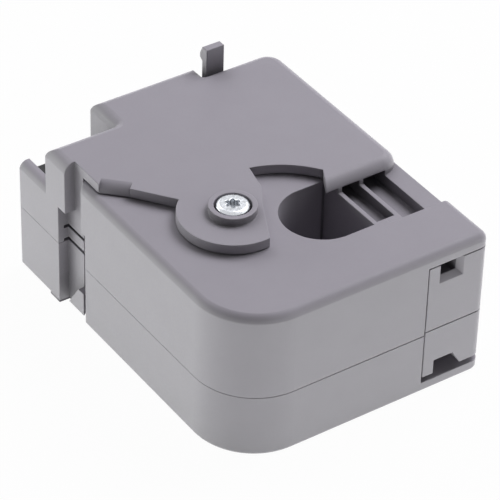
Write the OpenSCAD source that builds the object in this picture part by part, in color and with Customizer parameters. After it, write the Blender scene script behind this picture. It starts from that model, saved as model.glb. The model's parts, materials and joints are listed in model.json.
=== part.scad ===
// Split-core current switch: a moulded housing and a hinged jaw that close round a conductor.
// Plan view: x runs along the front face, y to the back, z up, from the jaw's front left bottom corner.

/* [Shells] */
// Height of the jaw
jaw_h = 32.2; // [31:0.1:34]
// Thickness of the housing's plate, which lies over the jaw
plate_t = 1.95; // [1.8:0.05:2.4]
// Height of the seam between the jaw's lower and upper shells
seam_z = 13.75; // [13.2:0.05:14.2]
// How much higher the seam between the housing's shells runs
seam_step = 0.65; // [0.4:0.05:0.8]
// Thickness of the moulded walls
wall = 2; // [1.8:0.1:2.3]
// Gap between the jaw and the housing
run_gap = 0.25; // [0.2:0.05:0.3]
// Radius of the bottom edges
foot_rim_r = 1; // [0.6:0.1:1.2]

/* [Hinge] */
// Hinge axis, from the jaw's left face
hinge_x = 18.2; // [17.8:0.1:18.8]
// Hinge axis, behind the middle of the window
hinge_back = 6.9; // [6.6:0.1:7.2]
// How far the jaw swings open
open_deg = 40; // [30:1:40]
// Radius of the housing's lower hinge leaf
leaf_r = 7; // [6:0.1:7.2]
// Thickness of the housing's lower hinge leaf
leaf_t = 2.9; // [2.4:0.1:3]
// Diameter of the hinge screw's shank
screw_d = 3; // [2.5:0.1:3.2]
// Diameter of the hinge screw's head
screw_head_d = 6; // [5.4:0.1:6.4]
// Height of the hinge screw's head
screw_head_h = 2.3; // [1.8:0.1:2.6]
// Width across the lobes of the screw's drive
drive_d = 2.8; // [2.2:0.1:3.2]
// Outside diameter of the sleeve that the jaw turns on
sleeve_d = 5; // [4.6:0.1:5.6]
// Radial clearance of the jaw on its sleeve
sleeve_fit = 0.05; // [0.03:0.01:0.08]
// Outside diameter of the raised ring round the screw's head
boss_d = 9.2; // [8.8:0.1:10]
// Height of that ring above the plate
boss_h = 1.5; // [0.8:0.1:1.8]
// Outside diameter of the threaded insert in the lower leaf
insert_d = 4.6; // [4.2:0.1:5.4]

/* [Jaw] */
// Radius of the jaw's big front corner, seen from above
jaw_corner_r = 13; // [12:0.5:14]
// Radius of the jaw's top edges
jaw_rim_r = 1.9; // [1:0.1:1.9]
// Radius of the right-hand front corners
nose_r = 2; // [2:0.1:3]
// Radius of the jaw's heel round the hinge
heel_r = 30; // [29.6:0.1:30.6]
// How much shorter the heel is below its step
heel_step = 1; // [0.6:0.1:1.4]
// Height of the heel's step
heel_step_z = 21.5; // [20:0.1:23]
// Width of the heel, from the left face
heel_w = 10; // [9:0.1:10.5]
// Thickness of the jaw's floor
floor_t = 2.3; // [2:0.1:2.4]
// Thickness of the upper lip over the housing's block
lip_t = 2.8; // [2.4:0.1:3]
// Length of both lips, from the front face
lip_l = 12.4; // [11.8:0.1:12.8]

/* [Conductor window] */
// Radius of the window's round end, half its length
window_r = 8.1; // [7.6:0.1:8.4]
// Wall between the lips and the window
window_wall = 1; // [0.8:0.1:1.4]
// Centre of the window's round end, right of the hinge axis
window_reach = 15.2; // [15:0.1:15.6]
// Straight part of the window, from that centre to the housing's arm
window_flat = 6.8; // [6.4:0.1:7.2]

/* [Housing] */
// Width of the arm that closes the window
arm_w = 14.8; // [14.4:0.1:16]
// How far the arm's top lies below the jaw's
arm_drop = 0.8; // [0.4:0.1:1.2]
// How far the lips and the block stand out past the arm's right side
nose_step = 1.4; // [0.8:0.1:1.8]
// How far the housing's left face stands out past the jaw's
side_step = 0.6; // [0.2:0.1:1]
// Depth of the groove behind the heel, from the housing's left face
groove_d = 2.3; // [1.8:0.1:2.6]
// Thickness of the neck behind the groove
neck_t = 4.4; // [4:0.1:5]
// Length of the middle block, behind the neck
block_l = 8.4; // [7.8:0.1:8.8]
// Left side of the middle block
block_x = 14.6; // [14.2:0.1:15]
// Width of the middle block
block_w = 24; // [22:0.1:24.4]
// Length of the right part, behind the neck
back_l = 5; // [4.4:0.1:5.6]
// Radius of the plate's top edges
plate_rim_r = 2.6; // [2:0.1:3.2]
// Radius of the housing's upright corners on the right
corner_r = 3.8; // [3.4:0.1:4.2]
// Width of the upright finger at the back
finger_w = 4; // [3:0.1:4.4]
// Thickness of that finger
finger_t = 1.6; // [1.2:0.1:2]
// Height of the finger above the plate
finger_h = 5; // [3.6:0.1:6]

/* [Plate outline] */
// Radius of the round lobe over the hinge
lobe_r = 10.5; // [10:0.1:11]
// Front edge of the plate on the right, in front of the hinge axis
bar_front = 2.6; // [2.2:0.1:2.8]
// How far the plate's front edge reaches over the window
bar_reach = 2.8; // [2:0.1:3]
// Radius of the plate's hollow edge behind the window
sweep_r = 18.9; // [18.7:0.1:19.1]
// Centre of that radius, right of the hinge axis
sweep_x = 5.7; // [5.5:0.1:5.9]
// Centre of that radius, in front of the hinge axis
sweep_y = 8.8; // [8.6:0.1:9]
// Fold of the plate's left edge, as a distance from the hinge axis
fold_r = 20.1; // [19.8:0.1:20.4]

/* [Terminal recess] */
// Thickness of the side guard
guard_t = 2.2; // [1.8:0.1:2.4]
// Height of the side guard
guard_h = 24.9; // [23:0.1:26]
// Length of the side guard, behind the neck
guard_l = 9.9; // [9.6:0.1:11]
// Pitch of the two terminals
pole_pitch = 5.08; // [5:0.01:5.2]
// Height of the terminal body
terminal_h = 10.4; // [10:0.1:11.5]
// Diameter of the wire entries
wire_d = 3; // [2.4:0.1:3.1]

/* [Arm pocket] */
// Thickness of the pocket's ribs
rib_t = 0.9; // [0.7:0.1:1.1]
// Left face of the middle rib, from the arm's left face
rib_x = 4.9; // [4.4:0.1:5.4]
// Width of the strip along the right side
strip_w = 4; // [3.5:0.1:4.5]
// Web across the front of the left cell
web_t = 2; // [1.4:0.1:2.4]
// Width of the latch slots between the lips
latch_w = 4.4; // [4:0.1:5]
// Height of the upper latch slot's mouth
latch_h = 4.2; // [3.8:0.1:4.4]
// Depth of the upper latch slot
latch_depth = 7; // [5:0.1:8]
// How much wider the latch slots are at their mouths
latch_flare = 1.9; // [1.2:0.1:2.2]

/* [Core and coil] */
// Bottom of both core halves
core_z = 8; // [7.4:0.1:8.4]
// Walls in front of and beside the core halves
core_side = 3; // [2.6:0.1:3.2]
// Clearance of the core in its pockets
core_fit = 0.15; // [0.1:0.05:0.2]
// Length of the bobbin
bobbin_l = 15; // [12:0.5:15.4]
// Thickness of the bobbin's tube and flanges
bobbin_t = 0.9; // [0.7:0.1:1]
// Depth of the winding
winding_t = 1.3; // [0.8:0.1:1.4]

/* [Electronics] */
// Height of the circuit board's underside
board_z = 9.5; // [8.6:0.1:9.8]
// Thickness of the circuit board
board_t = 1.6; // [1:0.1:1.8]
// Diameter of the capacitor
cap_d = 6.3; // [5:0.1:7]
// Height of the capacitor
cap_h = 11; // [9:0.5:13]
// Diameter of the surge suppressor's disc
disc_d = 7; // [5:0.1:7.4]

/* [Hidden] */
$fn = 64;

housing_grey = [0.62, 0.605, 0.635];
zinc = [0.8, 0.82, 0.84];
core_steel = [0.35, 0.36, 0.38];
copper = [0.72, 0.42, 0.22];
brass = [0.78, 0.66, 0.36];
board_green = [0.12, 0.36, 0.2];
lacquer_tan = [0.78, 0.7, 0.52];
epoxy_blue = [0.12, 0.25, 0.5];
black = [0.07, 0.07, 0.08];

far = 100;
cut = 1;
// A rounded edge's arc overshoots its corner by this, so that it crosses both faces cleanly
arc_lift = 0.05;
seat_gap = 0.03;

// Window, arm and hinge
window_y = lip_l + window_wall + window_r;
window_x = hinge_x + window_reach;
window_front = window_y - window_r;
hinge_y = window_y + hinge_back;
hinge = [hinge_x, hinge_y];
arm_x = window_x + window_flat;
arm_right = arm_x + arm_w;
nose_x = arm_right + nose_step;
pole_lap = 2.2;
jaw_w = arm_x + pole_lap;

// Heights
plate_z = jaw_h + run_gap;
body_h = plate_z + plate_t;
housing_seam = seam_z + seam_step;
arm_h = jaw_h - arm_drop;
pocket_z = jaw_h - lip_t - run_gap;
leaf_z = floor_t + run_gap;
sleeve_z = leaf_z + leaf_t;
hub_z = sleeve_z + run_gap;
head_sink = 0.1;
head_z = body_h + boss_h - head_sink - screw_head_h;

// The jaw's hub and heel turn inside the housing
hub_gap = 0.8;
hub_r = arm_x - hinge_x - hub_gap;
clear_r = hub_r + run_gap;
heel_low_r = heel_r - heel_step;
heel_gap = 2 * run_gap;
heel_clear_r = heel_r + heel_gap;
heel_edge = acos((heel_w - hinge_x) / heel_r);
heel_stop_x = hinge_x + heel_r * cos(heel_edge - open_deg) + heel_gap;
// Angles round the hinge between which the lower leaf's web runs
web_from = 60;
web_to = 79.5;
web_clear = 0.8;

// Back of the housing
side_x = -side_step;
groove_x = side_x + groove_d;
neck_web = 0.8;
recess_y = hinge_y + heel_clear_r + neck_web;
neck_y = recess_y + neck_t;
block_y = neck_y + block_l;
block_end = block_x + block_w;
back_y = neck_y + back_l;
body_w = nose_x - side_x;
body_l = neck_y + guard_l;
back_lap = 3.8;
pole_back = 1.8;
// The neck's left wall overhangs the groove above this height
neck_lip_z = 23.1;
neck_lip_l = 2.6;
neck_lip_y = recess_y - neck_lip_l;

// Fold points of the plate's outline, from angles round the hinge
lobe_from = 128;
lobe_to = -83.5;
waist_deg = -21.3;
kink_deg = 22.2;
fold_deg = 127.75;
sweep_deg = 76.5;
lobe_waist = at(waist_deg, 0.55 * lobe_r);
lobe_kink = at(kink_deg, 0.9 * lobe_r);
fold = at(fold_deg, fold_r);
sweep_c = hinge + [sweep_x, -sweep_y];
sweep_from = sweep_c + sweep_r * [cos(sweep_deg), sin(sweep_deg)];
plate_y = hinge_y - bar_front;
bar_tip = [arm_x - bar_reach, plate_y];
bar_slant = 28;
bar_end_l = 5;
bar_end = bar_tip + bar_end_l * [sin(bar_slant), cos(bar_slant)];

// Core and coil: the arm's walls and the pocket's floor leave what the coil can have
bobbin_gap = 0.1;
tube_t = bobbin_gap + bobbin_t;
flange_lap = 0.2;
flange_t = tube_t + winding_t + flange_lap;
coil_space = flange_t + core_fit;
coil_wall = 1.15;
coil_wall_right = 2.35;
coil_roof = 2.5;
coil_x = arm_x + coil_wall + coil_space;
coil_limb_w = arm_w - coil_wall - coil_wall_right - 2 * coil_space;
coil_end = coil_x + coil_limb_w;
lip_margin = 1.4;
core_w = lip_l - core_side - lip_margin;
core_top = pocket_z - coil_roof - coil_space;
core_h = core_top - core_z;
core_lag = 4.9;
core_back = hinge_y + core_lag;
core_end = core_back + core_w;
coil_y = (window_front + core_back) / 2;
coil_z = core_z + core_h / 2;

// Electronics bay
bay_margin = 2;
cavity_x = heel_stop_x + wall + bay_margin;
cavity_right = arm_right - wall;
cavity_back = back_y - wall;
cavity_y = recess_y + wall;
cavity_front = core_end + wall;
block_in = block_x + wall;
board_gap = 0.3;
board_top = board_z + board_t;
slot_gap = 0.1;
tongue_inset = 0.9;
tongue_l = 5.1;
tongue_from = neck_y + tongue_inset;
tongue_to = tongue_from + tongue_l;
post_d = 5;

// Terminals
terminal_gap = 0.3;
terminal_x = side_x + guard_t + terminal_gap;
terminal_w = block_x - terminal_gap - terminal_x;
terminal_y = neck_y + terminal_gap;
terminal_l = body_l - terminal_gap - terminal_y;
terminal_z = board_top;
cage_fit = 0.1;
throat = wire_d + cage_fit;
clamp_wall = 0.5;
clamp_w = throat + 2 * clamp_wall;
clamp_front = 1;
clamp_y = terminal_y + clamp_front;
clamp_l = 5.4;
clamp_floor = 0.8;
clamp_roof = 1.5;
clamp_h = clamp_floor + throat + clamp_roof;
clamp_rise = 2.55;
clamp_z = terminal_z + clamp_rise;
pole_z = clamp_z + clamp_floor + throat / 2;
terminal_screw_y = clamp_y + clamp_l / 2;
terminal_screw_d = 2.4;
terminal_head_d = 3.4;

function at(a, r) = hinge + r * [cos(a), sin(a)];
function unit(v) = v / norm(v);
function xy(p) = [p[0], p[1]];
function before(p, i) = p[(i + len(p) - 1) % len(p)];
function after(p, i) = p[(i + 1) % len(p)];
function cross_z(u, v) = u[0] * v[1] - u[1] * v[0];
function dir_in(p, i) = unit(xy(p[i]) - xy(before(p, i)));
function dir_out(p, i) = unit(xy(after(p, i)) - xy(p[i]));
function turn(p, i) = atan2(cross_z(dir_in(p, i), dir_out(p, i)), dir_in(p, i) * dir_out(p, i));
function setback(p, i) = turn(p, i) > 0 ? p[i][2] * tan(turn(p, i) / 2) : 0;
function arc_start(p, i) = xy(p[i]) - setback(p, i) * dir_in(p, i);
function arc_end(p, i) = xy(p[i]) + setback(p, i) * dir_out(p, i);
function arc_centre(p, i) = arc_start(p, i) + p[i][2] * [-dir_in(p, i)[1], dir_in(p, i)[0]];
function outward(d) = atan2(-d[0], d[1]);

// Outlines run anticlockwise as [x, y, corner radius]
jaw_front = [
    [0, 0, jaw_corner_r],
    [jaw_w, 0, 0],
    [jaw_w, hinge_y, 0],
    [0, hinge_y, 0]];
lip_plan = [
    [jaw_corner_r, 0, 0],
    [nose_x, 0, nose_r],
    [nose_x, lip_l, 0],
    [jaw_corner_r, lip_l, 0]];
jaw_rim = [
    [0, 0, jaw_corner_r],
    [nose_x, 0, nose_r],
    [nose_x, far, 0],
    [0, far, 0]];
arm_plan = [
    [jaw_w + run_gap, 0, 0],
    [nose_x, 0, nose_r],
    [nose_x, lip_l + run_gap, 0],
    [arm_right, lip_l + run_gap, 0],
    [arm_right, plate_y + back_lap, 0],
    [arm_x, plate_y + back_lap, 0],
    [arm_x, window_front + run_gap, 0],
    [jaw_w + run_gap, window_front + run_gap, 0]];
back_plan = [
    [arm_x, plate_y, 0],
    [arm_right, plate_y, corner_r],
    [arm_right, back_y, corner_r],
    [block_end, back_y, 0],
    [block_end, block_y, 0],
    [block_x, block_y, 0],
    [block_x, neck_y, 0],
    [side_x, neck_y, 0],
    [side_x, recess_y, 0],
    [groove_x, recess_y, 0],
    [groove_x, hinge_y + pole_back, 0],
    [arm_x, hinge_y + pole_back, 0]];
plate_plan = [
    concat(bar_tip, 0),
    [arm_right, plate_y, corner_r],
    [arm_right, back_y, corner_r],
    [block_end, back_y, 0],
    [block_end, block_y, 0],
    [block_x, block_y, 0],
    [block_x, neck_y, 0],
    [side_x, neck_y, 0],
    [side_x, neck_lip_y, 0],
    [groove_x, neck_lip_y, 0],
    [groove_x, fold[1] + fold[0] - groove_x, 0],
    concat(fold, 0),
    concat(at(lobe_from, lobe_r), 0),
    concat(hinge, 0),
    concat(at(lobe_to, lobe_r), 0),
    concat(lobe_waist, 0),
    concat(lobe_kink, 0),
    concat(sweep_from, 0),
    concat(bar_end, 0)];
PLATE_SIDES = [0, 1, 2, 3, 4, 5, 6, 7, 10];
PLATE_CORNERS = [1, 2, 3, 6];
foot_rim = [
    [arm_right, lip_l + run_gap, 0],
    [arm_right, back_y, corner_r],
    [block_end, back_y, 0],
    [block_end, block_y, 0],
    [block_x, block_y, 0]];
guard_rim_r = 1.9;
guard_rim = [
    [side_x, neck_y - cut, 0],
    [far, neck_y - cut, 0],
    [far, body_l, 0],
    [side_x, body_l, 0]];

// Shared shapes
module place() {
    translate([-side_x - body_w / 2, -body_l / 2, 0]) children();
}

module slab(z0, z1) {
    translate([0, 0, z0]) linear_extrude(z1 - z0) children();
}

module box(lo, hi) {
    translate(lo) cube(hi - lo);
}

module at_hinge() {
    translate(hinge) children();
}

module outline(p) {
    difference() {
        polygon([for (c = p) xy(c)]);
        for (i = [0 : len(p) - 1])
            if (setback(p, i) > 0)
                difference() {
                    polygon([xy(p[i]), arc_end(p, i), arc_centre(p, i), arc_start(p, i)]);
                    translate(arc_centre(p, i)) circle(r = p[i][2]);
                }
    }
}

// What a rounded edge loses: the solid lies towards -x and -y of the edge
module edge_profile(r) {
    difference() {
        translate([-r, -r]) square(r + cut);
        translate([-r, -r]) circle(r = r + arc_lift);
    }
}

module rim_side(p, i, r) {
    a = arc_end(p, i);
    b = arc_start(p, (i + 1) % len(p));
    translate(b) rotate([90, 0, outward(dir_out(p, i))]) linear_extrude(norm(b - a)) edge_profile(r);
}

// A convex corner turns about its arc's centre, a hollow one about the corner itself
module rim_corner(p, i, r) {
    bend = turn(p, i);
    from = outward(dir_in(p, i));
    if (bend > 0)
        translate(arc_centre(p, i)) rotate(from)
            rotate_extrude(angle = bend) translate([p[i][2], 0]) edge_profile(r);
    else
        translate(xy(p[i])) rotate(from + 180 + bend)
            rotate_extrude(angle = -bend)
                intersection() {
                    mirror([1, 0]) edge_profile(r);
                    translate([0, -r]) square(r + cut);
                }
}

module rim_cut(p, sides, corners, r) {
    for (i = sides) rim_side(p, i, r);
    for (i = corners) rim_corner(p, i, r);
}

module foot_cut(p, sides, corners) {
    mirror([0, 0, 1]) rim_cut(p, sides, corners, foot_rim_r);
}

// A wedge of the plan between two angles round the hinge
module sector(from, to) {
    polygon([hinge, at(from, far), at((from + to) / 2, far), at(to, far)]);
}

// Jaw
module window_plan() {
    translate([window_x, window_y]) {
        circle(r = window_r);
        translate([0, -window_r]) square([far, 2 * window_r]);
    }
}

module heel_plan(r) {
    intersection() {
        at_hinge() circle(r = r);
        translate([0, hinge_y]) square([heel_w, far]);
    }
}

module jaw_plan() {
    difference() {
        intersection() {
            union() {
                outline(jaw_front);
                at_hinge() circle(r = hub_r);
                heel_plan(heel_low_r);
            }
            translate([0, -cut]) square(far);
        }
        window_plan();
    }
}

module jaw_bore() {
    at_hinge() slab(-cut, body_h) circle(d = sleeve_d + 2 * sleeve_fit);
}

module jaw_core_plan(gap) {
    limb = core_side + core_w;
    front = [
        [core_side - gap, core_side - gap, jaw_corner_r - core_side + gap],
        [jaw_w, core_side - gap, 0],
        [jaw_w, limb + gap, 0],
        [limb + gap, limb + gap, 0],
        [limb + gap, hinge_y, 0],
        [core_side - gap, hinge_y, 0]];
    outline(front);
    intersection() {
        union() {
            translate([core_side - gap, hinge_y])
                square([core_w + 2 * gap, core_end + gap - hinge_y]);
            translate([core_side - gap, core_back - gap]) square([far, core_w + 2 * gap]);
        }
        at_hinge() circle(r = hub_r);
    }
}

spring_y = window_y;
spring_l = 16;
spring_h = 10;
spring_t = 0.35;
spring_bow = 0.6;
spring_arc_r = spring_l * spring_l / (8 * spring_bow);

module spring_well() {
    half_l = spring_l / 2 + core_fit;
    half_h = spring_h / 2 + core_fit;
    box([core_side - spring_bow - spring_t - core_fit, spring_y - half_l, coil_z - half_h],
        [core_side + cut, spring_y + half_l, coil_z + half_h]);
}

module jaw_pockets() {
    slab(core_z - core_fit, core_top + core_fit) jaw_core_plan(core_fit);
    spring_well();
}

module jaw_top() {
    color(housing_grey) place() difference() {
        union() {
            slab(seam_z, jaw_h) jaw_plan();
            slab(heel_step_z, jaw_h) heel_plan(heel_r);
            slab(jaw_h - lip_t, jaw_h) outline(lip_plan);
        }
        jaw_bore();
        jaw_pockets();
        translate([0, 0, jaw_h]) rim_cut(jaw_rim, [0, 1, 3], [0, 1], jaw_rim_r);
    }
}

module jaw_bottom() {
    color(housing_grey) place() difference() {
        union() {
            slab(0, seam_z) jaw_plan();
            slab(0, floor_t) outline(lip_plan);
        }
        at_hinge() slab(floor_t, body_h) circle(d = sleeve_d + 2 * sleeve_fit);
        slab(floor_t, hub_z) {
            at_hinge() circle(r = leaf_r + run_gap);
            sector(web_from - web_clear, web_to + open_deg + web_clear);
        }
        jaw_pockets();
        foot_cut(jaw_rim, [0, 1, 3], [0, 1]);
    }
}

module jaw_core() {
    color(core_steel) place() slab(core_z, core_top) jaw_core_plan(0);
}

module core_spring() {
    color(zinc) place()
        translate([0, 0, coil_z - spring_h / 2]) linear_extrude(spring_h) intersection() {
            translate([core_side - seat_gap - spring_arc_r, spring_y]) difference() {
                circle(r = spring_arc_r);
                circle(r = spring_arc_r - spring_t);
            }
            translate([0, spring_y - spring_l / 2]) square([core_side, spring_l]);
        }
}

// Hinge
tip_gap = 0.1;
head_rim_r = 0.9;
drive_depth = 1.2;
thread_gap = 0.1;
bore_gap = 0.2;

module hinge_screw() {
    color(zinc) place() at_hinge() difference() {
        union() {
            slab(leaf_z + tip_gap, head_z + cut) circle(d = screw_d);
            slab(head_z, head_z + screw_head_h) circle(d = screw_head_d);
        }
        translate([0, 0, head_z + screw_head_h])
            rotate_extrude() translate([screw_head_d / 2, 0]) intersection() {
                edge_profile(head_rim_r);
                translate([-screw_head_d / 2, -screw_head_h]) square([screw_head_d, far]);
            }
        slab(head_z + screw_head_h - drive_depth, far) drive_plan();
    }
}

// Six-lobed drive
module drive_plan() {
    lobe_d = 0.28 * drive_d;
    ring_d = drive_d - lobe_d;
    circle(d = ring_d);
    for (k = [0 : 5])
        rotate(60 * k) translate([ring_d / 2, 0]) circle(d = lobe_d);
}

module hinge_sleeve() {
    color(zinc) place() at_hinge() slab(sleeve_z, plate_z) difference() {
        circle(d = sleeve_d);
        circle(d = screw_d + bore_gap);
    }
}

module hinge_insert() {
    color(brass) place() at_hinge() slab(leaf_z, sleeve_z) difference() {
        circle(d = insert_d);
        circle(d = screw_d + thread_gap);
    }
}

// Housing
module plate_shape() {
    difference() {
        union() {
            outline(plate_plan);
            at_hinge() circle(r = lobe_r);
        }
        intersection() {
            translate(sweep_c) circle(r = sweep_r);
            polygon([at(lobe_to, lobe_r), at(lobe_to, far), bar_tip, bar_end, [bar_end[0], far],
                [sweep_from[0], far], sweep_from, lobe_kink, lobe_waist]);
        }
    }
}

module back_shape() {
    difference() {
        outline(back_plan);
        at_hinge() circle(r = clear_r);
        intersection() {
            at_hinge() circle(r = heel_clear_r);
            translate([side_x - cut, hinge_y]) square([heel_stop_x - side_x + cut, far]);
        }
    }
}

module fixed_core_plan(gap) {
    translate([jaw_w + run_gap, core_side - gap])
        square([coil_end - jaw_w - run_gap + gap, core_w + 2 * gap]);
    translate([coil_x - gap, core_side - gap])
        square([coil_limb_w + 2 * gap, core_end - core_side + 2 * gap]);
    difference() {
        translate([window_x, core_back - gap])
            square([coil_end + gap - window_x, core_w + 2 * gap]);
        at_hinge() circle(r = clear_r);
    }
}

module coil_well() {
    half_l = bobbin_l / 2 + core_fit;
    box([coil_x - coil_space, coil_y - half_l, core_z - coil_space],
        [coil_end + coil_space, coil_y + half_l, core_top + coil_space]);
}

module electronics_well(z0, z1) {
    slab(z0, z1) difference() {
        union() {
            translate([block_in, cavity_y]) square([cavity_right - block_in, cavity_back - cavity_y]);
            translate([block_in, cavity_y]) square([block_w - 2 * wall, block_y - wall - cavity_y]);
            translate([cavity_x, cavity_front])
                square([cavity_right - cavity_x, cavity_back - cavity_front]);
        }
        at_hinge() circle(r = clear_r + wall);
    }
}

module housing_pockets() {
    slab(core_z - core_fit, core_top + core_fit) fixed_core_plan(core_fit);
    coil_well();
}

module guard(z0, z1) {
    box([side_x, neck_y - cut, z0], [side_x + guard_t, body_l, z1]);
}

module pocket_cells() {
    front = lip_l + run_gap;
    middle = arm_x + rib_x;
    box([arm_x + rib_t, front + web_t, pocket_z], [middle, plate_y + back_lap, plate_z]);
    box([middle + rib_t, front - cut, pocket_z], [arm_right - strip_w, plate_y + back_lap, plate_z]);
}

module arm_body() {
    difference() {
        slab(housing_seam, arm_h) outline(arm_plan);
        box([arm_x - cut, -cut, pocket_z], [far, lip_l + run_gap, far]);
    }
}

// Slot under the upper lip, with a sloped sill at its mouth and room for a catch behind the sill
latch_x = arm_x + rib_x;
sill_l = 1.15;

module latch_slot() {
    floor_z = pocket_z - latch_h;
    intersection() {
        slab(0, body_h) polygon([
            [latch_x, -cut], [latch_x + latch_w + latch_flare, -cut], [latch_x + latch_w, sill_l],
            [latch_x + latch_w, latch_depth], [latch_x, latch_depth]]);
        translate([latch_x - cut, 0, 0]) rotate([90, 0, 90]) linear_extrude(latch_w + latch_flare + 2 * cut)
            polygon([[-cut, floor_z - cut], [sill_l, floor_z + sill_l], [sill_l, floor_z],
                [latch_depth + cut, floor_z], [latch_depth + cut, pocket_z + cut], [-cut, pocket_z + cut]]);
    }
}

// Finger with a small barb behind its tip
finger_inset = 0.5;
barb_out = 0.8;
barb_top = 1.6;
barb_bottom = 3.2;
barb_lead = 0.6;
finger_root = 0.2;

module finger() {
    y0 = back_y - finger_root;
    y1 = y0 + finger_t;
    top = body_h + finger_h;
    translate([block_end + finger_inset, 0, 0]) rotate([90, 0, 90]) linear_extrude(finger_w)
        polygon([
            [y0, housing_seam], [y1, housing_seam], [y1, top - barb_bottom],
            [y1 + barb_out, top - barb_bottom + barb_lead], [y1 + barb_out, top - barb_top],
            [y1, top], [y0, top]]);
}

module lobe_boss() {
    at_hinge() slab(plate_z, body_h + boss_h) circle(d = boss_d);
}

head_gap = 0.6;

module screw_seat() {
    at_hinge() {
        slab(head_z, far) circle(d = screw_head_d + 2 * head_gap);
        slab(0, far) circle(d = screw_d + 2 * bore_gap);
    }
}

module neck_lip() {
    box([side_x, neck_lip_y, neck_lip_z], [groove_x + cut, recess_y + cut, plate_z + cut]);
}

// Two fine slots along the floor of the groove, with a ridge between
groove_slot_h = 0.7;
groove_slot_depth = 1.2;
upper_slot_z = 17.5;
groove_slots = [housing_seam, upper_slot_z];

module groove_slot_cuts() {
    for (z = groove_slots)
        box([groove_x - cut, hinge_y, z],
            [groove_x + groove_slot_depth, recess_y + cut, z + groove_slot_h]);
}

module rimmed_body() {
    difference() {
        union() {
            slab(housing_seam, body_h) back_shape();
            slab(plate_z, body_h) plate_shape();
            neck_lip();
        }
        translate([0, 0, body_h]) rim_cut(plate_plan, PLATE_SIDES, PLATE_CORNERS, plate_rim_r);
    }
}

module housing_top() {
    color(housing_grey) place() difference() {
        union() {
            rimmed_body();
            arm_body();
            difference() {
                guard(housing_seam, guard_h);
                translate([0, 0, guard_h]) rim_cut(guard_rim, [3], [], guard_rim_r);
            }
            lobe_boss();
            finger();
        }
        screw_seat();
        housing_pockets();
        electronics_well(housing_seam - cut, plate_z);
        pocket_cells();
        latch_slot();
        groove_slot_cuts();
    }
}

module hinge_leaf() {
    slab(leaf_z, sleeve_z) {
        at_hinge() circle(r = leaf_r);
        intersection() {
            sector(web_from, web_to);
            square(recess_y + cut);
        }
    }
}

// Lug at the foot of the groove, flush with the jaw's left face
lug_z = 1.8;
lug_h = 5.2;
lug_l = 5;
lug_top_l = 1.5;

module heel_lug() {
    foot = recess_y - neck_lip_l - lug_l;
    top = lug_z + lug_h;
    difference() {
        rotate([90, 0, 90]) linear_extrude(groove_x + cut)
            polygon([[foot - cut, lug_z], [foot + lug_l, lug_z], [foot + lug_top_l, top], [foot - cut, top]]);
        at_hinge() slab(-cut, far) circle(r = heel_low_r + heel_gap);
    }
}

shelf_gap = 0.4;

module terminal_shelf() {
    top = board_z - slot_gap;
    box([side_x, neck_y - cut, 0], [block_x + cut, body_l - shelf_gap, top]);
}

post_in = 4;
posts = [
    [block_in + post_in, cavity_y + post_in],
    [cavity_right - post_in, cavity_front + post_in],
    [cavity_right - post_in, cavity_back - post_in]];

module board_posts() {
    for (p = posts)
        translate(p) slab(floor_t - cut, board_z) circle(d = post_d);
}

lip_gap = 1.3;
lip_gap_z = floor_t + lip_gap;
notch_z = 6.7;

module lower_lip_gap() {
    box([arm_x - cut, -cut, -cut], [far, lip_l + run_gap, lip_gap_z]);
}

module latch_slot_low() {
    mouth = latch_x + latch_w + latch_flare;
    translate([0, latch_depth - cut, 0]) rotate([90, 0, 0]) linear_extrude(latch_depth)
        polygon([[latch_x, 0], [mouth, 0], [mouth, lip_gap_z], [latch_x + latch_w, notch_z],
            [latch_x, notch_z]]);
}

// Slot in the block's left wall that the board's tongue passes through
module tongue_slot() {
    box([block_x - cut, tongue_from - 2 * slot_gap, board_z - slot_gap],
        [block_in + cut, tongue_to + 2 * slot_gap, board_top + 2 * slot_gap]);
}

module housing_bottom() {
    color(housing_grey) place() {
        difference() {
            union() {
                slab(0, housing_seam) back_shape();
                slab(0, housing_seam) outline(arm_plan);
                terminal_shelf();
                guard(0, housing_seam);
                hinge_leaf();
                heel_lug();
            }
            at_hinge() slab(0, sleeve_z + cut) circle(d = insert_d + 2 * seat_gap);
            housing_pockets();
            difference() {
                electronics_well(floor_t, housing_seam + cut);
                board_posts();
            }
            lower_lip_gap();
            latch_slot_low();
            tongue_slot();
            foot_cut(foot_rim, [0, 1, 3], [1]);
            foot_cut(guard_rim, [3], []);
        }
    }
}

// Magnetic circuit
module fixed_core() {
    color(core_steel) place() slab(core_z, core_top) fixed_core_plan(0);
}

module limb_ring(inner, outer) {
    difference() {
        translate([coil_x - outer, core_z - outer]) square([coil_limb_w + 2 * outer, core_h + 2 * outer]);
        translate([coil_x - inner, core_z - inner]) square([coil_limb_w + 2 * inner, core_h + 2 * inner]);
    }
}

// Extrudes a front-view ring along the coil's axis, from y0 for a length l
module along_coil(y0, l) {
    translate([0, y0 + l, 0]) rotate([90, 0, 0]) linear_extrude(l) children();
}

module coil_bobbin() {
    start = coil_y - bobbin_l / 2;
    color(black) place() {
        along_coil(start, bobbin_l) limb_ring(bobbin_gap, tube_t);
        for (y = [start, start + bobbin_l - bobbin_t])
            along_coil(y, bobbin_t) limb_ring(bobbin_gap, flange_t);
    }
}

module coil_winding() {
    start = coil_y - bobbin_l / 2 + bobbin_t;
    color(copper) place()
        along_coil(start, bobbin_l - 2 * bobbin_t) limb_ring(tube_t, tube_t + winding_t);
}

// Electronics
board_strip_y = cavity_y + board_gap;
board_right = cavity_right - board_gap;
board_back = cavity_back - board_gap;
board_main_x = cavity_x + bay_margin;
board_front_gap = 1;
board_main_y = cavity_front + board_front_gap;
board_clear_r = clear_r + wall + board_gap;

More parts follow.
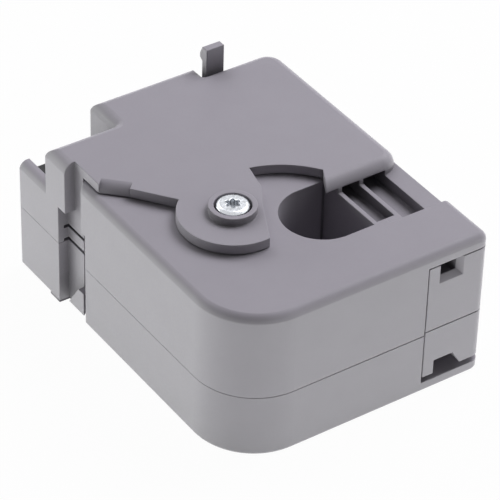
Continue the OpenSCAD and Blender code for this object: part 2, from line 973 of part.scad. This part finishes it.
module circuit_board() {
    color(board_green) place() slab(board_z, board_top) {
        translate([terminal_x, tongue_from])
            square([block_in + post_d - terminal_x, tongue_to - tongue_from]);
        difference() {
            union() {
                translate([block_in + board_gap, board_strip_y])
                    square([board_right - block_in - board_gap, board_back - board_strip_y]);
                translate([board_main_x, board_main_y])
                    square([board_right - board_main_x, board_back - board_main_y]);
            }
            at_hinge() circle(r = board_clear_r);
        }
    }
}

// A moulded package from its front left corner, with a row of legs along each long side
leg_w = 0.6;
leg_out = 0.2;
leg_pitch = 2.54;
package_lift = 0.4;
package_edge = 1;
// The packages' left sides clear both the board's edge and the round wall behind the hub
hub_side = hinge_x + sqrt(pow(board_clear_r, 2) - pow(board_main_y - hinge_y, 2));
package_x = max(board_main_x, hub_side);
switch_size = [8.8, 6.4, 3.5];
rectifier_size = [7.4, 6.4, 3.2];

module package(c, size, legs) {
    translate([c[0] + size[0] / 2, c[1] + size[1] / 2, board_top]) {
        translate([-size[0] / 2, -size[1] / 2, package_lift]) cube(size);
        for (side = [-1, 1], k = [0 : legs - 1])
            translate([(k - (legs - 1) / 2) * leg_pitch - leg_w / 2,
                    side * (size[1] / 2 + leg_out) - leg_w / 2, 0])
                cube([leg_w, leg_w, package_lift + size[2] / 2]);
    }
}

module output_switch() {
    y = board_back - package_edge - switch_size[1];
    color(black) place() package([package_x, y], switch_size, 3);
}

module rectifier() {
    color(black) place() package([package_x, board_main_y + package_edge], rectifier_size, 2);
}

cap_wall_gap = 1.35;
cap_groove_z = 1.6;
cap_groove_h = 0.6;
cap_groove_d = 0.25;

module capacitor() {
    x = cavity_right - cap_wall_gap - cap_d / 2;
    y = (board_main_y + board_back) / 2;
    color(black) place() translate([x, y, board_top]) difference() {
        cylinder(d = cap_d, h = cap_h);
        translate([0, 0, cap_groove_z]) difference() {
            cylinder(d = cap_d + cut, h = cap_groove_h);
            cylinder(d = cap_d - 2 * cap_groove_d, h = cap_groove_h);
        }
    }
}

resistor_d = 2.3;
resistor_l = 6.3;
resistor_lead_d = 0.6;
resistor_lead_l = 1.6;
resistor_inset = 7;
resistor_rows = [1.6, 4.2];

module resistors() {
    color(lacquer_tan) place()
        for (dy = resistor_rows)
            translate([block_end - resistor_inset, cavity_y + dy, board_top + resistor_d / 2])
                    rotate([0, 90, 0]) {
                cylinder(d = resistor_d, h = resistor_l, center = true);
                cylinder(d = resistor_lead_d, h = resistor_l + 2 * resistor_lead_l, center = true);
            }
}

disc_t = 3.4;
disc_inset = 5;

module surge_suppressor() {
    color(epoxy_blue) place()
        translate([block_in + disc_inset, cavity_y + cut + disc_t, board_top + disc_d / 2])
            rotate([90, 0, 0]) cylinder(d = disc_d, h = disc_t);
}

// Terminals
pole_x = [for (s = [-1, 1]) terminal_x + terminal_w / 2 + s * pole_pitch / 2];

slope_h = 3.2;
slope_l = 2.2;

module terminal_block() {
    top = terminal_z + terminal_h;
    back = terminal_y + terminal_l;
    color(black) place() difference() {
        translate([terminal_x, 0, 0]) rotate([90, 0, 90]) linear_extrude(terminal_w)
            polygon([[terminal_y, terminal_z], [back, terminal_z], [back, top - slope_h],
                [back - slope_l, top], [terminal_y, top]]);
        for (x = pole_x) {
            translate([x, clamp_y + clamp_l, pole_z]) rotate([-90, 0, 0]) cylinder(d = wire_d, h = far);
            box([x - clamp_w / 2 - cage_fit, clamp_y - cage_fit, clamp_z - cage_fit],
                [x + clamp_w / 2 + cage_fit, clamp_y + clamp_l + cage_fit, clamp_z + clamp_h + cage_fit]);
            translate([x, terminal_screw_y, pole_z]) cylinder(d = terminal_head_d + 3 * cage_fit, h = far);
        }
    }
}

module terminal_clamps() {
    color(brass) place()
        for (x = pole_x)
            difference() {
                box([x - clamp_w / 2, clamp_y, clamp_z],
                    [x + clamp_w / 2, clamp_y + clamp_l, clamp_z + clamp_h]);
                box([x - throat / 2, clamp_y - cut, pole_z - throat / 2],
                    [x + throat / 2, clamp_y + clamp_l + cut, pole_z + throat / 2]);
                translate([x, terminal_screw_y, pole_z]) cylinder(d = terminal_screw_d + cage_fit, h = far);
            }
}

terminal_head_h = 1.6;
terminal_head_gap = 0.3;
terminal_tip = 0.8;
driver_slot_w = 0.7;
driver_slot_h = 0.8;

module terminal_screws() {
    roof = clamp_z + clamp_h;
    head = roof + terminal_head_gap;
    color(zinc) place()
        for (x = pole_x)
            translate([x, terminal_screw_y, 0]) difference() {
                union() {
                    slab(roof - terminal_tip, head + terminal_head_h / 2) circle(d = terminal_screw_d);
                    slab(head, head + terminal_head_h) circle(d = terminal_head_d);
                }
                translate([-driver_slot_w / 2, -far / 2, head + terminal_head_h - driver_slot_h])
                    cube([driver_slot_w, far, far]);
            }
}

housing_top();
housing_bottom();
jaw_top();
jaw_bottom();
hinge_screw();
hinge_sleeve();
hinge_insert();
fixed_core();
jaw_core();
core_spring();
coil_bobbin();
coil_winding();
circuit_board();
output_switch();
rectifier();
capacitor();
resistors();
surge_suppressor();
terminal_block();
terminal_clamps();
terminal_screws();
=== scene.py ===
"""Looks of the split-core current switch: finishes with painted shade in hollows, seams, terminal and screw
tops, camera, light, floor.
"""
import json
import math

import bpy
from mathutils import Matrix, Vector


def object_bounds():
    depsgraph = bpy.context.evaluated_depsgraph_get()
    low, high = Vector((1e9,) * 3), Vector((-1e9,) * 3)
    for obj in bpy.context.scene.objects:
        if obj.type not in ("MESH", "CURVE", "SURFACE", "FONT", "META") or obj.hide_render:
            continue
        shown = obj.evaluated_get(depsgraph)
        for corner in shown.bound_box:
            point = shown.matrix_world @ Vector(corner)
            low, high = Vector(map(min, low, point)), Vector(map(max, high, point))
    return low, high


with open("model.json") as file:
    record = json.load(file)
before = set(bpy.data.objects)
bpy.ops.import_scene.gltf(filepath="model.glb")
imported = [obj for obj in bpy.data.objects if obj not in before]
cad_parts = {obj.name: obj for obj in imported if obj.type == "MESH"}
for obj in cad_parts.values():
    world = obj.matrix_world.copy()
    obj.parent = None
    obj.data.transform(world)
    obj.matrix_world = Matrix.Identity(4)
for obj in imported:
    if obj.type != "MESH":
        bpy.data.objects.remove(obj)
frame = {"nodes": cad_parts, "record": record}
cad_box = [list(corner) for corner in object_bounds()]
nodes = frame["nodes"]
scene = bpy.context.scene
MM = 0.001
WHITE = (1, 1, 1, 1)

# Camera: a long lens, looking down on the jaw's round corner
CAMERA_AZIMUTH = math.radians(-35.03)
CAMERA_ELEVATION = math.radians(37.478)
CAMERA_ROLL = math.radians(1.644)
CAMERA_TARGET = Vector((-0.000588, -0.001464, 0.017))
CAMERA_DISTANCE = 0.56754
CAMERA_LENS = 214.77
CAMERA_SENSOR = 36.0
CAMERA_CLIP = (0.01, 20)


def add_camera():
    back = Vector((math.sin(CAMERA_AZIMUTH) * math.cos(CAMERA_ELEVATION),
                   -math.cos(CAMERA_AZIMUTH) * math.cos(CAMERA_ELEVATION),
                   math.sin(CAMERA_ELEVATION)))
    level = Vector((math.cos(CAMERA_AZIMUTH), math.sin(CAMERA_AZIMUTH), 0))
    rise = back.cross(level)
    right = level * math.cos(CAMERA_ROLL) + rise * math.sin(CAMERA_ROLL)
    up = rise * math.cos(CAMERA_ROLL) - level * math.sin(CAMERA_ROLL)
    data = bpy.data.cameras.new("camera")
    data.lens = CAMERA_LENS
    data.sensor_width = CAMERA_SENSOR
    data.clip_start, data.clip_end = CAMERA_CLIP
    camera = bpy.data.objects.new("camera", data)
    place = Matrix((right, up, back)).transposed().to_4x4()
    place.translation = CAMERA_TARGET + back * CAMERA_DISTANCE
    camera.matrix_world = place
    scene.collection.objects.link(camera)
    scene.camera = camera


# Light: soft boxes high on the right and behind, others low at the camera's right and left, and the
# glow of a white table. Little light comes from the camera's own side
COOL = (0.99, 0.977, 1.025)
WARM = (1.0, 1.045, 0.978)
# Each box's place, aim, width and height in metres, its power in watts, and its tint
SOFT_BOXES = {
    "high_right": ((0.6, 0.1, 0.8), (0, 0, 0.03), (0.6, 0.6), 7.4, COOL),
    "high_back": ((0, 0.8, 0.65), (0, 0, 0.03), (0.6, 0.6), 2.5, COOL),
    "low_right": ((0.78, -0.54, 0.34), (0, 0, 0.015), (0.8, 0.8), 1.42, WARM),
    "low_left": ((-0.66, 0.78, 0.15), (0, 0, 0.015), (0.6, 0.28), 4.1, WARM),
}
# The table glows round the part, and a little way under its edge, but not in the window.
# Its power is in watts per square metre
GLOW_Z = 0.4 * MM
GLOW_HALF = 0.4
GLOW_POWER = 2.8
GLOW_INSET = 10 * MM


def add_soft_box(name, place, aim, size, power, tint):
    data = bpy.data.lights.new(name, "AREA")
    data.shape = "RECTANGLE"
    data.size, data.size_y = size
    data.energy = power
    data.color = tint
    lamp = bpy.data.objects.new(name, data)
    lamp.location = place
    lamp.rotation_euler = (Vector(aim) - Vector(place)).to_track_quat("-Z", "Y").to_euler()
    lamp.visible_camera = False
    scene.collection.objects.link(lamp)


def add_table_glow():
    """Four strips that shine straight up, in a frame round the part's middle."""
    left, front = (edge + GLOW_INSET for edge in cad_box[0][:2])
    right, back = (edge - GLOW_INSET for edge in cad_box[1][:2])
    strips = {
        "left": (-GLOW_HALF, left, -GLOW_HALF, GLOW_HALF),
        "right": (right, GLOW_HALF, -GLOW_HALF, GLOW_HALF),
        "front": (left, right, -GLOW_HALF, front),
        "back": (left, right, back, GLOW_HALF),
    }
    for side, (x0, x1, y0, y1) in strips.items():
        middle = ((x0 + x1) / 2, (y0 + y1) / 2)
        size = (x1 - x0, y1 - y0)
        add_soft_box("glow_" + side, (*middle, GLOW_Z), (*middle, 1), size,
                     GLOW_POWER * size[0] * size[1], WARM)


# World and floor: white where they are seen, with little light of their own on the part
WORLD_LEVEL = 0.035
FLOOR_HALF = 3.0
FLOOR_DROP = 0.02 * MM
FLOOR_COLOUR = (0.82, 0.82, 0.82, 1)
FLOOR_ROUGHNESS = 0.9
FLOOR_WHITE_SHARE = 0.97


def seen_directly(tree):
    """1 where a ray comes from the camera, a mirror or a lens, so that the white ground shows there."""
    path = tree.nodes.new("ShaderNodeLightPath")
    seen = path.outputs["Is Camera Ray"]
    for way in ("Is Glossy Ray", "Is Transmission Ray"):
        either = tree.nodes.new("ShaderNodeMath")
        either.operation = "MAXIMUM"
        tree.links.new(seen, either.inputs[0])
        tree.links.new(path.outputs[way], either.inputs[1])
        seen = either.outputs[0]
    return seen


def add_world():
    world = bpy.data.worlds.new("studio")
    scene.world = world
    world.use_nodes = True
    tree = world.node_tree
    background = tree.nodes["Background"]
    background.inputs["Color"].default_value = WHITE
    level = tree.nodes.new("ShaderNodeMapRange")
    level.inputs["To Min"].default_value = WORLD_LEVEL
    level.inputs["To Max"].default_value = 1.0
    tree.links.new(seen_directly(tree), level.inputs["Value"])
    tree.links.new(level.outputs["Result"], background.inputs["Strength"])


def floor_white():
    material = bpy.data.materials.new("floor")
    material.use_nodes = True
    tree = material.node_tree
    bsdf = tree.nodes["Principled BSDF"]
    bsdf.inputs["Base Color"].default_value = FLOOR_COLOUR
    bsdf.inputs["Roughness"].default_value = FLOOR_ROUGHNESS
    glow = tree.nodes.new("ShaderNodeEmission")
    glow.inputs["Color"].default_value = WHITE
    share = tree.nodes.new("ShaderNodeMath")
    share.operation = "MULTIPLY"
    share.inputs[1].default_value = FLOOR_WHITE_SHARE
    tree.links.new(seen_directly(tree), share.inputs[0])
    mix = tree.nodes.new("ShaderNodeMixShader")
    tree.links.new(share.outputs[0], mix.inputs["Fac"])
    tree.links.new(bsdf.outputs[0], mix.inputs[1])
    tree.links.new(glow.outputs[0], mix.inputs[2])
    tree.links.new(mix.outputs[0], tree.nodes["Material Output"].inputs["Surface"])
    return material


def add_floor():
    """A large square, a hair under the part so that no face lies in it."""
    mesh = bpy.data.meshes.new("floor")
    corners = [(x * FLOOR_HALF, y * FLOOR_HALF, 0) for x, y in ((-1, -1), (1, -1), (1, 1), (-1, 1))]
    mesh.from_pydata(corners, [], [(0, 1, 2, 3)])
    mesh.materials.append(floor_white())
    floor = bpy.data.objects.new("floor", mesh)
    floor.location.z = -FLOOR_DROP
    scene.collection.objects.link(floor)


# Finishes: every pattern is laid out in the part's own metres
PATTERN_SPAN = (0.3, 0.7)  # most of a noise's values lie in it
# The painted shade in hollows runs over the following span of how open a surface is
HOLLOW_SPAN = (0.4, 0.95)  # how open a surface is, from a deep hollow to a nearly flat face
NODE_SAMPLES = 8
WAVE_RATE = 20  # radians in one unit of Blender's wave texture


class Finish:
    """A procedural material with a few helpers for its node tree."""

    def __init__(self, name, colour, roughness=0.5, metallic=0.0, specular=0.5):
        self.material = bpy.data.materials.new(name)
        self.material.use_nodes = True
        self.nodes = self.material.node_tree.nodes
        self.links = self.material.node_tree.links
        self.bsdf = self.nodes["Principled BSDF"]
        self.bsdf.inputs["Base Color"].default_value = (*colour, 1)
        self.bsdf.inputs["Roughness"].default_value = roughness
        self.bsdf.inputs["Metallic"].default_value = metallic
        self.bsdf.inputs["Specular IOR Level"].default_value = specular
        self.colour = colour
        self.coords = self.nodes.new("ShaderNodeTexCoord").outputs["Object"]

    def noise(self, grain, detail=2.0):
        texture = self.nodes.new("ShaderNodeTexNoise")
        texture.inputs["Scale"].default_value = 1 / grain
        texture.inputs["Detail"].default_value = detail
        self.links.new(self.coords, texture.inputs["Vector"])
        return texture.outputs["Fac"]

    def bands(self, pitch, axis, wobble=0.0):
        texture = self.nodes.new("ShaderNodeTexWave")
        texture.bands_direction = axis
        texture.inputs["Scale"].default_value = 2 * math.pi / (WAVE_RATE * pitch)
        texture.inputs["Distortion"].default_value = wobble
        self.links.new(self.coords, texture.inputs["Vector"])
        return texture.outputs["Fac"]

    def spread(self, value, span, low, high):
        """The value, with the span that it moves in stretched from low to high."""
        ramp = self.nodes.new("ShaderNodeMapRange")
        ramp.inputs["From Min"].default_value, ramp.inputs["From Max"].default_value = span
        ramp.inputs["To Min"].default_value = low
        ramp.inputs["To Max"].default_value = high
        self.links.new(value, ramp.inputs["Value"])
        return ramp.outputs["Result"]

    def tint(self, value, dark, light):
        """The finish's colour, from dark to light times itself as the value rises."""
        ramp = self.nodes.new("ShaderNodeValToRGB")
        for end, place, share in zip(ramp.color_ramp.elements, PATTERN_SPAN, (dark, light)):
            end.position = place
            end.color = (*[c * share for c in self.colour], 1)
        self.links.new(value, ramp.inputs["Fac"])
        self.links.new(ramp.outputs["Color"], self.bsdf.inputs["Base Color"])

    def paint_shade_in_hollows(self, reach, darkest):
        """Paints shade into the tinted colour, darkening it in the piece's own hollows the more closed in a
        point is.
        """
        hollow = self.nodes.new("ShaderNodeAmbientOcclusion")
        hollow.samples = NODE_SAMPLES
        hollow.only_local = True
        hollow.inputs["Distance"].default_value = reach
        dim = self.nodes.new("ShaderNodeVectorMath")
        dim.operation = "SCALE"
        colour = self.bsdf.inputs["Base Color"]
        self.links.new(colour.links[0].from_socket, dim.inputs[0])
        self.links.new(self.spread(hollow.outputs["AO"], HOLLOW_SPAN, darkest, 1.0), dim.inputs["Scale"])
        self.links.new(dim.outputs[0], colour)

    def roughen(self, value, low, high):
        self.links.new(self.spread(value, PATTERN_SPAN, low, high), self.bsdf.inputs["Roughness"])

    def round_edges(self, radius):
        node = self.nodes.new("ShaderNodeBevel")
        node.samples = NODE_SAMPLES
        node.inputs["Radius"].default_value = radius
        self.links.new(node.outputs["Normal"], self.bsdf.inputs["Normal"])

    def bump(self, value, depth, strength):
        """Adds relief, over the rounded edges if there are any."""
        node = self.nodes.new("ShaderNodeBump")
        node.inputs["Distance"].default_value = depth
        node.inputs["Strength"].default_value = strength
        self.links.new(value, node.inputs["Height"])
        previous = self.bsdf.inputs["Normal"].links
        if previous:
            self.links.new(previous[0].from_socket, node.inputs["Normal"])
        self.links.new(node.outputs["Normal"], self.bsdf.inputs["Normal"])


def housing_plastic():
    finish = Finish("housing_plastic", (0.347, 0.328, 0.367), specular=0.4)
    finish.round_edges(radius=0.3 * MM)
    finish.tint(finish.noise(grain=6 * MM, detail=3), dark=0.985, light=1.015)
    # Painted shade: the colour drops to half in the housing's grooves, window walls and pocket cells
    finish.paint_shade_in_hollows(reach=5 * MM, darkest=0.5)
    finish.roughen(finish.noise(grain=0.5 * MM), low=0.46, high=0.58)
    finish.bump(finish.noise(grain=0.16 * MM, detail=3), depth=0.012 * MM, strength=0.6)
    return finish.material


def zinc_steel():
    finish = Finish("zinc_steel", (0.6, 0.62, 0.65), metallic=1.0)
    finish.round_edges(radius=0.25 * MM)
    finish.tint(finish.noise(grain=1.2 * MM, detail=3), dark=0.85, light=1.1)
    # Painted shade: darker in the screw's drive recess and along its inner edges
    finish.paint_shade_in_hollows(reach=0.6 * MM, darkest=0.6)
    finish.roughen(finish.noise(grain=0.4 * MM), low=0.18, high=0.38)
    finish.bump(finish.noise(grain=0.5 * MM), depth=0.03 * MM, strength=0.6)
    return finish.material


def turned_brass():
    finish = Finish("brass", (0.7, 0.5, 0.2), roughness=0.3, metallic=1.0)
    finish.tint(finish.noise(grain=1.0 * MM, detail=3), dark=0.9, light=1.06)
    finish.bump(finish.bands(pitch=0.15 * MM, axis="Z", wobble=0.4), depth=0.006 * MM, strength=0.6)
    return finish.material


def core_steel():
    finish = Finish("core_steel", (0.3, 0.31, 0.33), metallic=1.0)
    sheets = finish.bands(pitch=0.35 * MM, axis="Z", wobble=0.3)
    finish.tint(sheets, dark=0.6, light=1.1)
    finish.roughen(finish.noise(grain=0.4 * MM), low=0.3, high=0.48)
    finish.bump(sheets, depth=0.02 * MM, strength=0.7)
    return finish.material


def black_plastic():
    finish = Finish("black_plastic", (0.018, 0.018, 0.02), specular=0.25)
    finish.round_edges(radius=0.15 * MM)
    finish.tint(finish.noise(grain=2 * MM, detail=3), dark=0.85, light=1.2)
    finish.roughen(finish.noise(grain=0.4 * MM), low=0.36, high=0.52)
    finish.bump(finish.noise(grain=0.14 * MM), depth=0.01 * MM, strength=0.6)
    return finish.material


def copper_wire():
    finish = Finish("copper_wire", (0.52, 0.19, 0.07), roughness=0.28, metallic=1.0)
    turns = finish.bands(pitch=0.18 * MM, axis="Y", wobble=0.15)
    finish.tint(turns, dark=0.45, light=1.1)
    finish.bump(turns, depth=0.06 * MM, strength=0.9)
    return finish.material


def board():
    finish = Finish("board", (0.02, 0.12, 0.05), roughness=0.35)
    finish.tint(finish.noise(grain=1.6 * MM, detail=0.5), dark=0.75, light=1.25)
    finish.bump(finish.noise(grain=0.3 * MM), depth=0.01 * MM, strength=0.5)
    return finish.material


def capacitor_sleeve():
    finish = Finish("capacitor_sleeve", (0.02, 0.022, 0.035))
    finish.roughen(finish.noise(grain=0.8 * MM), low=0.15, high=0.3)
    finish.bump(finish.noise(grain=0.9 * MM), depth=0.02 * MM, strength=0.5)
    return finish.material


def resistor_body():
    finish = Finish("resistor_body", (0.5, 0.38, 0.2), roughness=0.35)
    finish.tint(finish.bands(pitch=1.3 * MM, axis="X"), dark=0.45, light=1.1)
    finish.bump(finish.noise(grain=0.3 * MM), depth=0.02 * MM, strength=0.5)
    return finish.material


def suppressor_coat():
    finish = Finish("suppressor_coat", (0.02, 0.06, 0.22), roughness=0.22)
    finish.tint(finish.noise(grain=1.5 * MM), dark=0.85, light=1.15)
    finish.bump(finish.noise(grain=0.8 * MM), depth=0.04 * MM, strength=0.6)
    return finish.material


FINISHES = {
    "housing_plastic": housing_plastic,
    "zinc_steel": zinc_steel,
    "brass": turned_brass,
    "core_steel": core_steel,
    "black_plastic": black_plastic,
    "copper_wire": copper_wire,
    "board": board,
    "capacitor_sleeve": capacitor_sleeve,
    "resistor_body": resistor_body,
    "suppressor_coat": suppressor_coat,
}


def dress_nodes():
    """Gives each solid its slot's finish."""
    finishes = {slot: make() for slot, make in FINISHES.items()}
    for part in frame["record"]["subparts"]:
        mesh = nodes[part["node"]].data
        mesh.materials.clear()
        mesh.materials.append(finishes[part["material_slot"]])


def top_of(node):
    return max(v.co.z for v in nodes[node].data.vertices)


def shift_up(node, name, weights, rise):
    """Moves the weighted points of a node up, each by its share of the rise."""
    thing = nodes[node]
    group = thing.vertex_groups.new(name=name)
    for index, weight in weights.items():
        group.add([index], weight, "REPLACE")
    move = thing.modifiers.new(name, "DISPLACE")
    move.vertex_group = group.name
    move.direction = "Z"
    move.mid_level = 0.0
    move.strength = rise


# The lower and upper shell of a body part by a hair along their seam, more so towards the mouth
SHELLS = (("housing_bottom", "housing_top"), ("jaw_bottom", "jaw_top"))
SEAM_GAP = 0.24 * MM
SEAM_REACH = 0.001 * MM
SEAM_TIGHT = 0.3  # the share of the gap that is left at the end away from the mouth


def open_seams():
    left, right = cad_box[0][0], cad_box[1][0]
    for pair in SHELLS:
        seam = top_of(pair[0])
        for shell, way in zip(pair, (-1, 1)):
            edge = {v.index: SEAM_TIGHT + (1 - SEAM_TIGHT) * (v.co.x - left) / (right - left)
                    for v in nodes[shell].data.vertices if abs(v.co.z - seam) < SEAM_REACH}
            shift_up(shell, "seam", edge, way * SEAM_GAP / 2)


# The terminals' tops reach up to the side guard's: what lies this deep or less goes up with the top
TERMINAL_RISE = 2.9 * MM
TERMINAL_DEPTHS = {"terminal_block": 3.6 * MM, "terminal_screws": 2.1 * MM}


def raise_terminals():
    for node, depth in TERMINAL_DEPTHS.items():
        base = top_of(node) - depth
        tops = {v.index: 1.0 for v in nodes[node].data.vertices if v.co.z > base}
        shift_up(node, "top", tops, TERMINAL_RISE)


# The hinge screw's head, a little wider and fuller than its plain solid
HEAD_SPREAD = 1.07
HEAD_RISE = 0.4 * MM
HEAD_DEPTH = 1.6 * MM


def spread_and_lift(group, axis):
    """Geometry nodes that spread a vertex group's points about an upright axis and lift them."""
    tree = bpy.data.node_groups.new("screw_head", "GeometryNodeTree")
    for way in ("INPUT", "OUTPUT"):
        tree.interface.new_socket("Geometry", in_out=way, socket_type="NodeSocketGeometry")
    chosen = tree.nodes.new("GeometryNodeInputNamedAttribute")
    chosen.data_type = "FLOAT"
    chosen.inputs["Name"].default_value = group
    spread = tree.nodes.new("ShaderNodeVectorMath")
    spread.operation = "MULTIPLY_ADD"
    spread.inputs[1].default_value = (HEAD_SPREAD, HEAD_SPREAD, 1)
    spread.inputs[2].default_value = [*(c * (1 - HEAD_SPREAD) for c in axis), HEAD_RISE]
    tree.links.new(tree.nodes.new("GeometryNodeInputPosition").outputs[0], spread.inputs[0])
    move = tree.nodes.new("GeometryNodeSetPosition")
    tree.links.new(tree.nodes.new("NodeGroupInput").outputs[0], move.inputs["Geometry"])
    tree.links.new(chosen.outputs["Attribute"], move.inputs["Selection"])
    tree.links.new(spread.outputs[0], move.inputs["Position"])
    tree.links.new(move.outputs[0], tree.nodes.new("NodeGroupOutput").inputs[0])
    return tree


def fill_screw_head():
    screw = nodes["hinge_screw"]
    points = [v.co for v in screw.data.vertices]
    axis = [(min(p[k] for p in points) + max(p[k] for p in points)) / 2 for k in range(2)]
    base = top_of("hinge_screw") - HEAD_DEPTH
    head = screw.vertex_groups.new(name="head")
    head.add([v.index for v in screw.data.vertices if v.co.z > base], 1.0, "REPLACE")
    screw.modifiers.new("head", "NODES").node_group = spread_and_lift(head.name, axis)


add_camera()
add_world()
add_floor()
for box_name, settings in SOFT_BOXES.items():
    add_soft_box(box_name, *settings)
add_table_glow()
dress_nodes()
open_seams()
raise_terminals()
fill_screw_head()
scene.view_settings.view_transform = "Standard"
